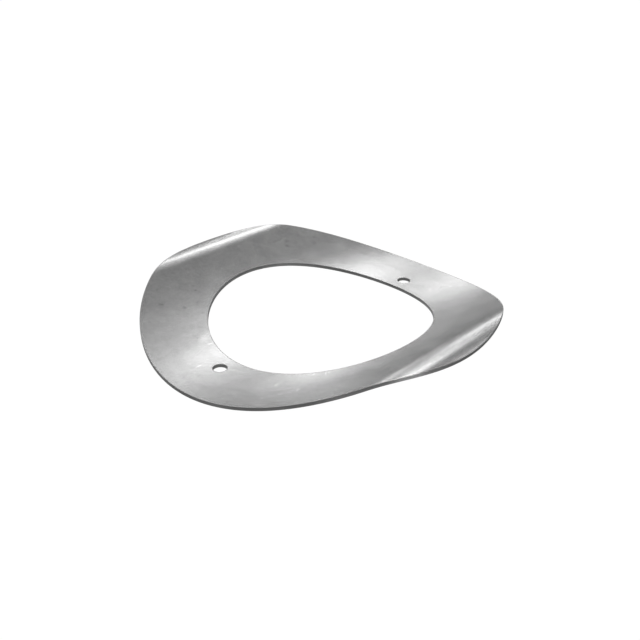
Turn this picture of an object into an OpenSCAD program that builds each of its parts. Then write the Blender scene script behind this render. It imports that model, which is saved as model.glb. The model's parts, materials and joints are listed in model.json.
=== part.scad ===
// Bowed spring washer, stamped in one piece from spring steel strip.
// X runs along the lowest line of the bow, through both pin holes. Y runs across the bow and Z is up.
// The origin is under the middle of the washer, on the lowest line of its underside.

/* [Blank] */
// Outside diameter, seen from above
outer_d = 80; // [70:0.5:90]
// Diameter of the bore
bore_d = 50.5; // [40:0.5:54]
// Gauge of the sheet
sheet_t = 0.75; // [0.5:0.05:1.2]

/* [Bow] */
// Radius of the bow on its hollow upper face
bow_r = 81; // [60:1:140]
// Inside radius of the bend that ends the bow along each crest
crest_r = 9; // [7:0.5:14]
// Width of each lip, from the top line of its crest out to the edge
lip_w = 2.65; // [1.6:0.05:4]

/* [Pin holes] */
// Distance between the centres of the two pin holes
pin_pitch = 58.4; // [57:0.2:68]
// Diameter of each pin hole
pin_d = 3; // [2:0.1:4]

/* [Hidden] */
$fn = 256;
// How far the strip and the punches reach past the washer
trim = 1;
// From the middle of the washer across to the top line of each crest
crest_y = outer_d / 2 - lip_w;
// The bow and crest arcs touch on the line through their centres. These are its length and its lean.
centres_apart = bow_r + sheet_t + crest_r;
join_a = asin(crest_y / centres_apart);
// Height of the bow's centre, with the underside of the washer at zero
bow_z = bow_r + sheet_t;
// Top of the crests, which is the height of the washer
free_h = bow_z - centres_apart * cos(join_a) + crest_r + sheet_t;
steel = [0.76, 0.77, 0.78];

// Profile of sheet bent right round, about the origin
module sheet_ring(inside_r) {
    difference() {
        circle(r = inside_r + sheet_t);
        circle(r = inside_r);
    }
}

// Places its children about the bow's centre, turned so that their Y axis runs through a crest's centre
module crest_line(side) {
    translate([0, bow_z]) mirror([side, 0]) rotate(join_a) children();
}

// Profile of the bow, from the line of one crest to the line of the other
module bow_profile() {
    intersection() {
        crest_line(0) sheet_ring(bow_r);
        crest_line(0) translate([-centres_apart, -centres_apart]) square(centres_apart);
        crest_line(1) translate([-centres_apart, -centres_apart]) square(centres_apart);
    }
}

// Profile of a crest, which rolls over its top line and down into the lip
module crest_profile(side) {
    crest_line(side) translate([0, -centres_apart])
        intersection() {
            sheet_ring(crest_r);
            square(2 * crest_r);
        }
}

// Bowed strip, drawn out along X past the washer
module formed_strip() {
    rotate([90, 0, 90])
        linear_extrude(height = outer_d + 2 * trim, center = true) {
            bow_profile();
            for (side = [0, 1]) crest_profile(side);
        }
}

// Upright punch that passes right through the strip
module punch(d) {
    translate([0, 0, -trim]) cylinder(d = d, h = free_h + 2 * trim);
}

// The washer is punched after the strip is bowed, so from above its outline is a true circle
module spring_washer() {
    color(steel)
        difference() {
            intersection() {
                formed_strip();
                punch(outer_d);
            }
            punch(bore_d);
            for (side = [-1, 1])
                translate([side * pin_pitch / 2, 0, 0]) punch(pin_d);
        }
}

spring_washer();
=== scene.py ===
import json
import math

import bpy
import numpy as np
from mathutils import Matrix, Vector


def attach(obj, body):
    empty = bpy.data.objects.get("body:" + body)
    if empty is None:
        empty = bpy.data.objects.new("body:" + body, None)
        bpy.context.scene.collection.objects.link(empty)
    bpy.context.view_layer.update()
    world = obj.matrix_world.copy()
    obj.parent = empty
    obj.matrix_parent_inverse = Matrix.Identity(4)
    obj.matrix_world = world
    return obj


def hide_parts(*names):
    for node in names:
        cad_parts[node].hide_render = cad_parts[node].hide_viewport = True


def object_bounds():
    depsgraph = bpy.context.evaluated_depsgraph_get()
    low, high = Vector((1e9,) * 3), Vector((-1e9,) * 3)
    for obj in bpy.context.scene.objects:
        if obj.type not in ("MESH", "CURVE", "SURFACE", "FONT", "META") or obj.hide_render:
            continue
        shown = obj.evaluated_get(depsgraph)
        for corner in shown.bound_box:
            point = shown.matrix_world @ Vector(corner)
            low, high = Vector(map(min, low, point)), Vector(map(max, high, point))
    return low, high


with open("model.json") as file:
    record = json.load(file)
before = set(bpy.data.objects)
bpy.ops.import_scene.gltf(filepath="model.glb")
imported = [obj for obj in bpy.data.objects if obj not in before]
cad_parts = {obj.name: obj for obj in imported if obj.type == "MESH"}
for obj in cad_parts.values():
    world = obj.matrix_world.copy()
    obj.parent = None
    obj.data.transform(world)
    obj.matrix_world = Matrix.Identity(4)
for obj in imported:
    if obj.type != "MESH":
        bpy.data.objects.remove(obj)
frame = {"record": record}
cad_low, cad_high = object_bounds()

# The spring washer is one disc of cold rolled spring steel strip, about 0.75 mm thick.
# The strip is bowed over a former, whose ends roll it over into two crests with short lips.
# The outline, the bore and the two pin holes are then punched straight down through it.
mount_dims = {mount["name"]: mount["dims"] for mount in frame["record"]["mounts"]}
outer_r = (cad_high.x - cad_low.x) / 2
bore_r = 0.02525
sheet_t = 0.00075
bow_r = 0.081
crest_r = 0.009
lip_w = 0.00265
pin_x = mount_dims["pin_holes"]["spacing_x_mm"] / 2000
pin_r = mount_dims["pin_holes"]["hole_r_mm"] / 1000
# The punch draws the upper corners over a little and leaves the lower ones almost square.
die_roll = 0.00006
foot_round = 0.00003
# The cells beside each cut are this narrow, which keeps the shading of the corners off the faces.
rim_cell = 0.00012
# Where the bow and the crests have their centres, and how far apart those are.
crest_y = outer_r - lip_w
bow_z = bow_r + sheet_t
centres_apart = bow_z + crest_r
crest_z = bow_z - math.sqrt(centres_apart**2 - crest_y**2)


def sheet_height(y, lift):
    """Height of the bowed sheet at y, on the surface that lies lift above its underside.
    The bow is an arc about its centre: z = bow_z - sqrt((bow_z - lift)^2 - y^2). Past the line where the
    arcs touch, the crest is one too: z = crest_z + sqrt((crest_r + lift)^2 - (|y| - crest_y)^2)."""
    across = np.abs(y)
    in_bow = across <= (bow_z - lift) * crest_y / centres_apart
    bow = bow_z - np.sqrt((bow_z - lift) ** 2 - np.where(in_bow, across, 0) ** 2)
    past_crest = np.where(in_bow, 0, across - crest_y)
    crest = crest_z + np.sqrt((crest_r + lift) ** 2 - past_crest**2)
    return np.where(in_bow, bow, crest)


def cut_edge(corner_steps, wall_steps):
    """Inset from the cut and lift above the underside, from the top face down to the underside.
    A quarter circle of the die roll leads to the upright wall, and a small one ends it at the foot."""
    turn = np.linspace(0, math.pi / 2, corner_steps + 1)
    wall = np.linspace(sheet_t - die_roll, foot_round, wall_steps + 1)[1:-1]
    inset = [die_roll * (1 - np.sin(turn)), 0 * wall, foot_round * (1 - np.cos(turn))]
    lift = [sheet_t - die_roll * (1 - np.cos(turn)), wall, foot_round * (1 - np.sin(turn))]
    return np.concatenate(inset), np.concatenate(lift)


def across_face(from_r, to_r, steps):
    """Radii across a face, from a rim cell inside one edge to a rim cell inside the other, evenly spaced
    in between: r = from_r + (to_r - from_r) * share."""
    near = rim_cell / abs(to_r - from_r)
    share = np.concatenate([[near], np.linspace(0, 1, steps + 1)[1:-1], [1 - near]])
    return from_r + (to_r - from_r) * share


# The section runs once round the strip: down the outer cut, in along the underside, up the cut of
# the bore and out over the top face. The ring carries it round, so a point is a turn and a place on it.
turns = 640
face_steps = 44
corner_steps = 5
wall_steps = 6
inset, lift = cut_edge(corner_steps, wall_steps)
under = across_face(outer_r - foot_round, bore_r + foot_round, face_steps)
over = across_face(bore_r + die_roll, outer_r - die_roll, face_steps)
section_r = np.concatenate([outer_r - inset, under, bore_r + inset[::-1], over])
section_lift = np.concatenate([lift, 0 * under, lift[::-1], 0 * over + sheet_t])
is_wall = inset == 0
no_wall = np.zeros(len(over), bool)
section_wall = np.concatenate([is_wall, no_wall, is_wall[::-1], no_wall])
turn = np.arange(turns) * 2 * math.pi / turns
ring_x = np.cos(turn)[:, None] * section_r
ring_y = np.sin(turn)[:, None] * section_r
ring_lift = np.broadcast_to(section_lift, ring_x.shape)
points = [np.stack([ring_x, ring_y, sheet_height(ring_y, ring_lift)], -1).reshape(-1, 3)]
lifts = [ring_lift.ravel()]
ring_index = np.arange(ring_x.size).reshape(ring_x.shape)
next_turn = np.roll(ring_index, -1, 0)
ring_quads = np.stack(
    [ring_index, np.roll(ring_index, -1, 1), np.roll(next_turn, -1, 1), next_turn], -1
)
ring_walls = np.broadcast_to(section_wall & np.roll(section_wall, -1), ring_index.shape)
kept = np.ones(ring_index.shape, bool)

# Each pin hole takes the place of a block of the ring's cells, above and below. Its own cells run from
# the edge of the block in to the hole, down the cut, and out again to the edge of the block below.
# They crowd towards the hole.
block_half = 0.0024
block_rows = 6
crowding = 1.25
half_turns = round(block_half / (pin_x * 2 * math.pi / turns))
first_under = len(inset)
first_over = len(inset) + len(under) + len(inset)


def block_stations(first, radii):
    """Stations of the section whose radius lies within the block round a pin hole."""
    return first + np.flatnonzero(np.abs(radii - pin_x) <= block_half)


over_block = block_stations(first_over, over)
under_block = block_stations(first_under, under)[::-1]
quads = []
walls = []
reach_in = np.linspace(1, 0, block_rows + 2)[1:-1, None, None] ** crowding
row_on_face = [False] * (block_rows + 1)
row_wall = np.concatenate([row_on_face, is_wall, row_on_face])
for middle_turn, side in ((0, 1), (turns // 2, -1)):
    columns = (np.arange(-half_turns, half_turns + 1) + middle_turn) % turns
    rims = []
    for block in (over_block, under_block):
        # The rim runs round the block once: along its inner side, out, back and in again.
        rim_turn = np.concatenate(
            [columns[:-1], 0 * block[:-1] + columns[-1], columns[:0:-1], 0 * block[:0:-1] + columns[0]]
        )
        rim_station = np.concatenate(
            [0 * columns[:-1] + block[0], block[:-1], 0 * columns[:0:-1] + block[-1], block[:0:-1]]
        )
        rims.append(ring_index[rim_turn, rim_station])
        lowest = min(block[0], block[-1])
        kept[columns[:-1, None], np.arange(lowest, lowest + len(block) - 1)] = False
    centre = np.array([side * pin_x, 0.0])
    over_rim = points[0][rims[0], :2]
    under_rim = points[0][rims[1], :2]
    outward = (over_rim - centre) / np.linalg.norm(over_rim - centre, axis=1)[:, None]
    down_hole = centre + (pin_r + inset)[:, None, None] * outward
    over_rows = down_hole[0] + (over_rim - down_hole[0]) * reach_in
    under_rows = down_hole[-1] + (under_rim - down_hole[-1]) * reach_in[::-1]
    plan = np.concatenate([over_rows, down_hole, under_rows])
    hole_lift = np.concatenate([0 * reach_in.ravel() + sheet_t, lift, 0 * reach_in.ravel()])
    hole_lift = np.broadcast_to(hole_lift[:, None], plan.shape[:2])
    added = sum(len(part) for part in points)
    own = np.arange(hole_lift.size).reshape(hole_lift.shape) + added
    points.append(np.dstack([plan, sheet_height(plan[..., 1], hole_lift)]).reshape(-1, 3))
    lifts.append(hole_lift.ravel())
    rows = np.concatenate([rims[0][None], own, rims[1][None]])
    beside = np.roll(rows, -1, 1)
    quads.append(np.stack([rows[:-1], rows[1:], beside[1:], beside[:-1]], -1).reshape(-1, 4))
    walls.append(np.repeat(row_wall[:-1] & row_wall[1:], rows.shape[1]))

quads.append(ring_quads[kept])
walls.append(ring_walls[kept])
washer_mesh = bpy.data.meshes.new("washer")
washer_mesh.from_pydata(np.concatenate(points), [], np.concatenate(quads))
washer_mesh.polygons.foreach_set("use_smooth", np.ones(len(washer_mesh.polygons), bool))
washer_mesh.polygons.foreach_set("material_index", np.concatenate(walls).astype(np.int32))
# How deep each point lies in the sheet, from 0 on the top face to 1 on the underside.
depth = washer_mesh.attributes.new("cut_depth", "FLOAT", "POINT")
depth.data.foreach_set("value", 1 - np.concatenate(lifts) / sheet_t)
# How far each point lies from the nearest cut, in plan and in millimetres.
plan_x, plan_y = np.concatenate(points)[:, :2].T
from_middle = np.hypot(plan_x, plan_y)
from_pin = np.hypot(np.abs(plan_x) - pin_x, plan_y)
from_cut = np.minimum.reduce([outer_r - from_middle, from_middle - bore_r, from_pin - pin_r]) * 1000
margin = washer_mesh.attributes.new("from_cut", "FLOAT", "POINT")
margin.data.foreach_set("value", from_cut.astype(np.float32))
washer_mesh.validate()
washer = bpy.data.objects.new("washer", washer_mesh)
bpy.context.scene.collection.objects.link(washer)
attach(washer, "root")
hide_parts("spring_washer")


# The washer has two finishes, its rolled faces and its sheared cuts. Both show marks drawn along one
# direction, which the rolls leave on the faces and the punch leaves on the cuts. They are noise that
# is squeezed along each axis by its closeness.


def feed(tree, socket, value):
    """Feeds a socket: with a link if value is an output, or else with the plain value."""
    if isinstance(value, bpy.types.NodeSocket):
        tree.links.new(value, socket)
    else:
        socket.default_value = value


def add(tree, kind, **inputs):
    """Adds a node of that kind and feeds its named inputs, where _ stands for a space."""
    node = tree.nodes.new(kind)
    for name, value in inputs.items():
        feed(tree, node.inputs[name.replace("_", " ")], value)
    return node


def noise(tree, place, scale, detail, roughness=0.5):
    """Smooth noise between 0 and 1. The scale is about how many spots it has in a metre."""
    node = add(
        tree, "ShaderNodeTexNoise", Vector=place, Scale=scale, Detail=detail, Roughness=roughness
    )
    return node.outputs["Fac"]


def on_piece(tree):
    """Place on the piece, in metres."""
    return add(tree, "ShaderNodeTexCoord").outputs["Object"]


def open_group(name, takes, gives):
    """New node group with its input and output nodes. Each socket is given as its name and its kind."""
    group = bpy.data.node_groups.new(name, "ShaderNodeTree")
    for in_out, sockets in (("INPUT", takes), ("OUTPUT", gives)):
        for socket_name, kind in sockets:
            group.interface.new_socket(socket_name, in_out=in_out, socket_type="NodeSocket" + kind)
    return group, group.nodes.new("NodeGroupInput"), group.nodes.new("NodeGroupOutput")


def place_group(tree, group, **inputs):
    """Places a node group in a tree, feeds its inputs and gives its output."""
    node = tree.nodes.new("ShaderNodeGroup")
    node.node_tree = group
    for name, value in inputs.items():
        feed(tree, node.inputs[name], value)
    return node.outputs[0]


drawn_marks, marks_in, marks_out = open_group(
    "drawn_marks", [("Closeness", "Vector"), ("Detail", "Float")], [("Height", "Float")]
)
squeezed = drawn_marks.nodes.new("ShaderNodeVectorMath")
squeezed.operation = "MULTIPLY"
feed(drawn_marks, squeezed.inputs[0], on_piece(drawn_marks))
feed(drawn_marks, squeezed.inputs[1], marks_in.outputs["Closeness"])
marks_height = noise(
    drawn_marks, squeezed.outputs[0], scale=1.0, detail=marks_in.outputs["Detail"], roughness=0.6
)
feed(drawn_marks, marks_out.inputs["Height"], marks_height)


# Marks are soft ovals, whose place, turn and half sizes are given in plan. They are scratches, rubbed
# spots, painted shade of dents and painted highlights.
# Each is laid over the mask of the marks before it.


def combine(tree, operation, *values):
    """What a Math node makes of the values, in their order."""
    node = tree.nodes.new("ShaderNodeMath")
    node.operation = operation
    for socket, value in zip(node.inputs, values):
        feed(tree, socket, value)
    return node.outputs[0]


def remap(tree, value, span, new_span=(0.0, 1.0)):
    """Value moved from one span to another in proportion, and held at the ends of the second."""
    node = add(
        tree,
        "ShaderNodeMapRange",
        Value=value,
        From_Min=span[0],
        From_Max=span[1],
        To_Min=new_span[0],
        To_Max=new_span[1],
    )
    return node.outputs["Result"]


# The edge of a mark fades in between these two shares of its half sizes.
mark_edge = (1.3, 0.5)
one_mark, mark_in, mark_out = open_group(
    "one_mark",
    [("Before", "Float"), ("Place", "Vector"), ("Turn", "Vector"), ("Reach", "Vector")],
    [("Mask", "Float")],
)
mark_plan = add(
    one_mark,
    "ShaderNodeMapping",
    Vector=on_piece(one_mark),
    Location=mark_in.outputs["Place"],
    Rotation=mark_in.outputs["Turn"],
    Scale=mark_in.outputs["Reach"],
)
mark_plan.vector_type = "TEXTURE"
from_mark = add(one_mark, "ShaderNodeVectorMath")
from_mark.operation = "LENGTH"
feed(one_mark, from_mark.inputs[0], mark_plan.outputs["Vector"])
own_mask = remap(one_mark, from_mark.outputs["Value"], mark_edge)
laid_mask = combine(one_mark, "MAXIMUM", mark_in.outputs["Before"], own_mask)
feed(one_mark, mark_out.inputs["Mask"], laid_mask)


def lay_marks(tree, marks):
    """Mask of small marks. Each is given by its x and y, half length and half width in mm, and by its
    turn from the X axis in degrees."""
    mask = 0.0
    for x, y, half_length, half_width, turn in marks:
        mask = place_group(
            tree,
            one_mark,
            Before=mask,
            Place=(x / 1000, y / 1000, 0),
            Turn=(0, 0, math.radians(turn)),
            Reach=(half_length / 1000, half_width / 1000, 1),
        )
    return mask


# The rolled faces are bright satin steel as it comes from the rolls, with no coating.
# They are a little cloudy and gritty, with faint specks, painted shade of small dents and hardly any
# grain.


def bare_material(name):
    """New material with an empty node tree."""
    material = bpy.data.materials.new(name)
    material.use_nodes = True
    material.node_tree.nodes.clear()
    return material


def grey(tone):
    """Neutral colour of that tone."""
    return (tone, tone, tone, 1)


def blend(tree, kind, share, under, over):
    """Colour made of two. By the share given, over is mixed into under or multiplied with it."""
    node = tree.nodes.new("ShaderNodeMix")
    node.data_type = "RGBA"
    node.blend_type = kind
    colours_in = [socket for socket in node.inputs if socket.type == "RGBA"]
    colours_out = [socket for socket in node.outputs if socket.type == "RGBA"]
    feed(tree, node.inputs["Factor"], share)
    feed(tree, colours_in[0], under)
    feed(tree, colours_in[1], over)
    return colours_out[0]


def bump(tree, height, distance, coarser=None):
    """Normal of the surface with bumps on it, where a height of 1 stands up by distance. The bumps lie
    on coarser ones if the normal of those is given."""
    node = add(tree, "ShaderNodeBump", Height=height, Strength=1.0, Distance=distance)
    if coarser is not None:
        feed(tree, node.inputs["Normal"], coarser)
    return node.outputs["Normal"]


def read_attribute(tree, name):
    """Number that the mesh keeps for each of its points under that name."""
    node = tree.nodes.new("ShaderNodeAttribute")
    node.attribute_name = name
    return node.outputs["Fac"]


sheet_tone = 0.60
# Tone of the faint specks and of the painted shade of the dents.
speck_and_dent_shade_tone = 0.47
rolled = bare_material("rolled_steel")
tree = rolled.node_tree
place = on_piece(tree)
# The clouds are about 5 mm across, and the grit is finer than 1 mm.
cloud = noise(tree, place, scale=210.0, detail=3.0, roughness=0.55)
cloud_tone = remap(tree, cloud, (0.0, 1.0), (0.87, 1.13))
grit = noise(tree, place, scale=1700.0, detail=2.0, roughness=0.6)
grit_tone = remap(tree, grit, (0.0, 1.0), (0.85, 1.15))
mottle = combine(tree, "MULTIPLY", grit_tone, cloud_tone)
# Beside each cut the punch has drawn the sheet, and there the colour is painted darker over a fifth of a
# millimetre, as painted shade along the rim.
painted_rim_shade_strip = (0.03, 0.20)
from_cut_mm = read_attribute(tree, "from_cut")
rim_shade_tone = remap(tree, from_cut_mm, painted_rim_shade_strip, (0.60, 1.0))
mottled_and_rim_shaded = combine(tree, "MULTIPLY", mottle, rim_shade_tone)
clouded = blend(tree, "MULTIPLY", 1.0, grey(sheet_tone), mottled_and_rim_shaded)
specks = remap(tree, noise(tree, place, scale=900.0, detail=1.0), (0.70, 0.80))
# The dents are dark spots in the colour, painted shade where the sheet dips.
dent_shade_spots = [
    (15.8, 27.8, 0.60, 0.45, -45),
    (-25.3, 25.2, 0.62, 0.33, -45),
    (-21.5, 21.9, 0.45, 0.42, 0),
    (-15.6, 25.3, 0.40, 0.28, 30),
    (23.1, 25.4, 0.42, 0.24, -45),
    (25.0, 27.3, 0.46, 0.28, -45),
]
specks_and_dent_shade = combine(tree, "MAXIMUM", specks, lay_marks(tree, dent_shade_spots))
specked_and_dent_shaded = blend(tree, "MIX", specks_and_dent_shade, clouded, grey(speck_and_dent_shade_tone))

# Handling and use have rubbed the faces bright in places: short scratches lie round one pin hole and
# small flecks round the other. A lighter spot beside the bore is a painted highlight, and so are lighter
# strips along the cut at the rim of one crest and its lip.
rubbed_and_highlight_tone = 0.74
scratches = [
    (-19.5, -17.5, 0.65, 0.18, 20),
    (-18.1, -19.5, 0.80, 0.16, 38),
    (-17.2, -19.6, 0.60, 0.16, 38),
    (-26.3, -20.0, 0.70, 0.18, 27),
    (-26.7, -14.4, 0.70, 0.20, 15),
    (-29.2, -18.2, 0.60, 0.25, -50),
    (-32.2, -16.4, 0.35, 0.25, 40),
    (-31.8, 3.6, 0.80, 0.18, 0),
    (-24.9, 8.6, 0.50, 0.20, -20),
]
# A painted highlight beside the bore.
painted_highlight_spot = [(-24.0, 11.4, 2.30, 1.10, 26)]
# Painted highlights along the cut at the rim of the -Y crest and its lip.
painted_rim_highlights = [
    (-14.8, -37.0, 3.40, 0.30, -22),
    (-1.4, -39.9, 2.40, 0.30, -2),
    (2.4, -39.8, 2.40, 0.30, 4),
    (6.2, -39.4, 2.40, 0.30, 9),
]
flecks = [
    (29.0, -8.4, 0.32, 0.34, -45),
    (33.3, -11.1, 0.24, 0.42, -45),
    (35.0, -12.8, 0.55, 0.22, -15),
    (30.5, -15.2, 0.24, 0.30, -45),
    (38.3, 1.4, 0.26, 0.30, -45),
]
wear_and_highlight_marks = lay_marks(tree, scratches + painted_highlight_spot + painted_rim_highlights + flecks)
rubbed_and_highlighted = blend(tree, "MIX", wear_and_highlight_marks, specked_and_dent_shaded, grey(rubbed_and_highlight_tone))

# The lip on the +Y side is scuffed where the former rolled it over. The scuffs set in between these
# two places across the bow, just past its crest's top line.
scuffs_set_in = (0.0372, 0.0382)
across_bow = add(tree, "ShaderNodeSeparateXYZ", Vector=place).outputs["Y"]
on_lip = remap(tree, across_bow, scuffs_set_in)
scuffs = noise(tree, place, scale=1900.0, detail=1.0)
scuff_tone = remap(tree, scuffs, (0.3, 0.7), (0.76, 1.1))
scuffed = blend(tree, "MULTIPLY", on_lip, rubbed_and_highlighted, scuff_tone)

# The clouds vary the sheen as well, and the drawn strip beside each cut is duller. The sheet is wavy by
# a few hundredths of a millimetre and dimpled by a few thousandths, and its grain runs along the X axis.
wave_height = 0.000057
dimple_height = 0.000006
grain_height = 0.00000012
sheen = remap(tree, cloud, (0.0, 1.0), (0.235, 0.285))
drawn_dullness = remap(tree, from_cut_mm, (0.25, 0.05), (0.0, 0.22))
dulled = combine(tree, "ADD", sheen, drawn_dullness)
wavy = bump(tree, noise(tree, place, scale=110.0, detail=1.0), wave_height)
dimpled = bump(tree, noise(tree, place, scale=450.0, detail=1.0), dimple_height, wavy)
grain = place_group(tree, drawn_marks, Closeness=(300.0, 6000.0, 300.0), Detail=2.0)
grained = bump(tree, grain, grain_height, dimpled)
shader = add(
    tree,
    "ShaderNodeBsdfPrincipled",
    Base_Color=scuffed,
    Metallic=1.0,
    Roughness=dulled,
    Normal=grained,
)
add(tree, "ShaderNodeOutputMaterial", Surface=shader.outputs[0])
washer_mesh.materials.append(rolled)

# The cut edges are the same bare steel, darker and duller than the faces. The punch smooths each cut
# near the top and tears it below a ragged line, and it leaves lighter and darker patches on both.
smooth_cut_tone = 0.36
torn_cut_tone = 0.38
tear_height = 0.000008
sheared = bare_material("sheared_steel")
tree = sheared.node_tree
drag = place_group(tree, drawn_marks, Closeness=(5000.0, 5000.0, 500.0), Detail=3.0)
ragged_depth = combine(tree, "MULTIPLY_ADD", drag, 0.3, read_attribute(tree, "cut_depth"))
torn = remap(tree, ragged_depth, (0.50, 0.62))
cut_tone = blend(tree, "MIX", torn, grey(smooth_cut_tone), grey(torn_cut_tone))
patches = noise(tree, on_piece(tree), scale=130.0, detail=2.0)
patch_tone = remap(tree, patches, (0.3, 0.7), (0.82, 1.16))
patched = blend(tree, "MULTIPLY", 1.0, cut_tone, patch_tone)
# Beside the crest on the -Y side a lighter patch on the cut is a painted highlight, and under that lip
# the cut is darker still.
cut_highlight_tone = 0.68
dark_cut_tone = 0.28
cut_highlight = lay_marks(tree, [(-13.9, -37.5, 3.6, 1.6, -20)])
dark_cut = lay_marks(tree, [(2.4, -40.0, 9.0, 2.5, 0)])
cut_highlighted = blend(tree, "MIX", cut_highlight, patched, grey(cut_highlight_tone))
darkened = blend(tree, "MIX", dark_cut, cut_highlighted, grey(dark_cut_tone))
dullness = remap(tree, torn, (0.0, 1.0), (0.34, 0.5))
dragged = bump(tree, drag, tear_height)
shader = add(
    tree,
    "ShaderNodeBsdfPrincipled",
    Base_Color=darkened,
    Metallic=1.0,
    Roughness=dullness,
    Normal=dragged,
)
add(tree, "ShaderNodeOutputMaterial", Surface=shader.outputs[0])
washer_mesh.materials.append(sheared)

# The table is a plain pale sheet, lit evenly to just white, with no shade on it. It lies just under the
# lowest line of the washer's bow. The steel mirrors the studio's surround and not the table.
table_half = 2.0
table_z = -0.00002
corner_signs = ((-1, -1), (1, -1), (1, 1), (-1, 1))
table_corners = [(x * table_half, y * table_half, table_z) for x, y in corner_signs]
table_mesh = bpy.data.meshes.new("table")
table_mesh.from_pydata(table_corners, [], [(0, 1, 2, 3)])
table = bpy.data.objects.new("table", table_mesh)
bpy.context.scene.collection.objects.link(table)
pale = bpy.data.materials.new("pale_table")
pale.use_nodes = True
pale_shader = pale.node_tree.nodes["Principled BSDF"]
pale_shader.inputs["Base Color"].default_value = grey(0.02)
pale_shader.inputs["Roughness"].default_value = 0.9
pale_shader.inputs["Specular IOR Level"].default_value = 0.0
pale_shader.inputs["Emission Color"].default_value = grey(1)
pale_shader.inputs["Emission Strength"].default_value = 1.0
table_mesh.materials.append(pale)
table.visible_glossy = False
table.visible_shadow = False

# The studio has a soft grey surround, which the camera sees as white, and softboxes that lie where
# the steel mirrors them. The surround's tones go by height, from 0 straight down to 1 straight up.
tones = {0.26: 0.31, 0.34: 0.143, 0.40: 0.143, 0.46: 0.165, 0.55: 0.312, 0.70: 0.301, 1.0: 0.272}
surround = bpy.data.worlds.new("studio")
surround.use_nodes = True
tree = surround.node_tree
tree.nodes.clear()
sky_place = add(tree, "ShaderNodeTexCoord").outputs["Generated"]
sky_up = add(tree, "ShaderNodeSeparateXYZ", Vector=sky_place).outputs["Z"]
sky_tones = add(tree, "ShaderNodeValToRGB", Fac=remap(tree, sky_up, (-1.0, 1.0)))
stops = sky_tones.color_ramp.elements
for height in list(tones)[1:-1]:
    stops.new(height)
for stop, (height, tone) in zip(stops, tones.items()):
    stop.position = height
    stop.color = grey(tone)
grey_walls = add(tree, "ShaderNodeBackground", Color=sky_tones.outputs["Color"], Strength=1.0)
white_wall = add(tree, "ShaderNodeBackground", Color=grey(1), Strength=1.0)
to_camera = add(tree, "ShaderNodeLightPath").outputs["Is Camera Ray"]
behind = add(tree, "ShaderNodeMixShader", Fac=to_camera)
feed(tree, behind.inputs[1], grey_walls.outputs[0])
feed(tree, behind.inputs[2], white_wall.outputs[0])
add(tree, "ShaderNodeOutputWorld", Surface=behind.outputs[0])
bpy.context.scene.world = surround


def direction(azimuth, elevation):
    """Unit vector towards a place on the sky: azimuth from +X towards +Y, elevation up, in degrees."""
    a = math.radians(azimuth)
    e = math.radians(elevation)
    return Vector((math.cos(a) * math.cos(e), math.sin(a) * math.cos(e), math.sin(e)))


softbox_distance = 8.0


def hang_softbox(name, azimuth, elevation, half_width, half_height, radiance):
    """A rectangular lamp that faces the washer. Its sides are given by the angles they are seen under."""
    lamp = bpy.data.lights.new(name, "AREA")
    lamp.shape = "RECTANGLE"
    lamp.size = 2 * softbox_distance * math.tan(math.radians(half_width))
    lamp.size_y = 2 * softbox_distance * math.tan(math.radians(half_height))
    lamp.energy = radiance * math.pi * lamp.size * lamp.size_y
    held = bpy.data.objects.new(name, lamp)
    towards = direction(azimuth, elevation)
    held.location = towards * softbox_distance
    held.rotation_euler = towards.to_track_quat("Z", "Y").to_euler()
    held.visible_camera = False
    bpy.context.scene.collection.objects.link(held)
    return held


# Each softbox: name, azimuth, elevation, half width and half height in degrees, and radiance.
softboxes = [
    ("key", 43.2, 34.7, 8.3, 4.6, 2.88),
    ("key_end", 58.4, 33.2, 3.0, 4.4, 0.86),
    ("low_left", 38.6, 16.8, 3.3, 4.3, 2.10),
    ("low_right", 51.0, 14.6, 3.0, 4.2, 2.30),
    ("low_fill", 43.2, 9.0, 2.4, 6.0, 0.20),
    ("side_wall", 89.1, 10.1, 19.8, 25.6, 1.48),
    ("upper", 42.8, 47.6, 7.4, 3.6, 0.44),
    ("strip", 53.8, -5.5, 2.5, 12.9, 0.06),
    ("strip_top", 54.8, 7.3, 3.5, 4.2, 0.08),
    ("fill", 53.5, 25.0, 4.8, 4.5, 0.22),
    ("far_side", 6.5, 39.5, 8.6, 4.9, 0.95),
]
# The other three sides have the main softboxes again, mirrored across and along the bow.
for side, start, way in (("left", 180, -1), ("near", 0, -1), ("behind", 180, 1)):
    softboxes.append(("key_at_" + side, start + way * 43.4, 34.8, 8.3, 4.6, 3.0))
    softboxes.append(("low_at_" + side, start + way * 45.0, 15.5, 8.5, 3.6, 1.9))
softboxes += [
    ("side_wall_near", -89.1, 16.0, 19.8, 18.0, 1.48),
    ("end_left", 180, 18, 14, 8, 1.3),
    ("end_right", -14, 14, 12, 8, 1.3),
    ("top_far", 90, 60, 9, 6, 1.2),
    ("top_near", -90, 60, 9, 6, 1.2),
]
for softbox in softboxes:
    hang_softbox(*softbox)
overhead = hang_softbox("overhead", 0, 90, 20, 20, 2.2)
overhead.visible_glossy = False
bpy.context.scene.view_settings.view_transform = "Standard"

# The camera looks down on the washer from its -X and -Y side, at the photograph's angle. Its shift sets
# the washer in the frame as the photograph does, and is given in pixels of the square picture.
view_azimuth = -135.02
view_elevation = 28.55
view_distance = 0.19149
picture_side = 640
washer_right = 0.63
washer_down = 1.52
camera_data = bpy.data.cameras.new("camera")
camera_data.sensor_width = 36.0
camera_data.lens = 47.49
camera_data.shift_x = -washer_right / picture_side
camera_data.shift_y = washer_down / picture_side
camera_data.clip_start = 0.01
camera_data.clip_end = 20.0
camera = bpy.data.objects.new("camera", camera_data)
towards_camera = direction(view_azimuth, view_elevation)
camera.location = towards_camera * view_distance + Vector((0, 0, sheet_t / 2))
camera.rotation_euler = towards_camera.to_track_quat("Z", "Y").to_euler()
bpy.context.scene.collection.objects.link(camera)
bpy.context.scene.camera = camera
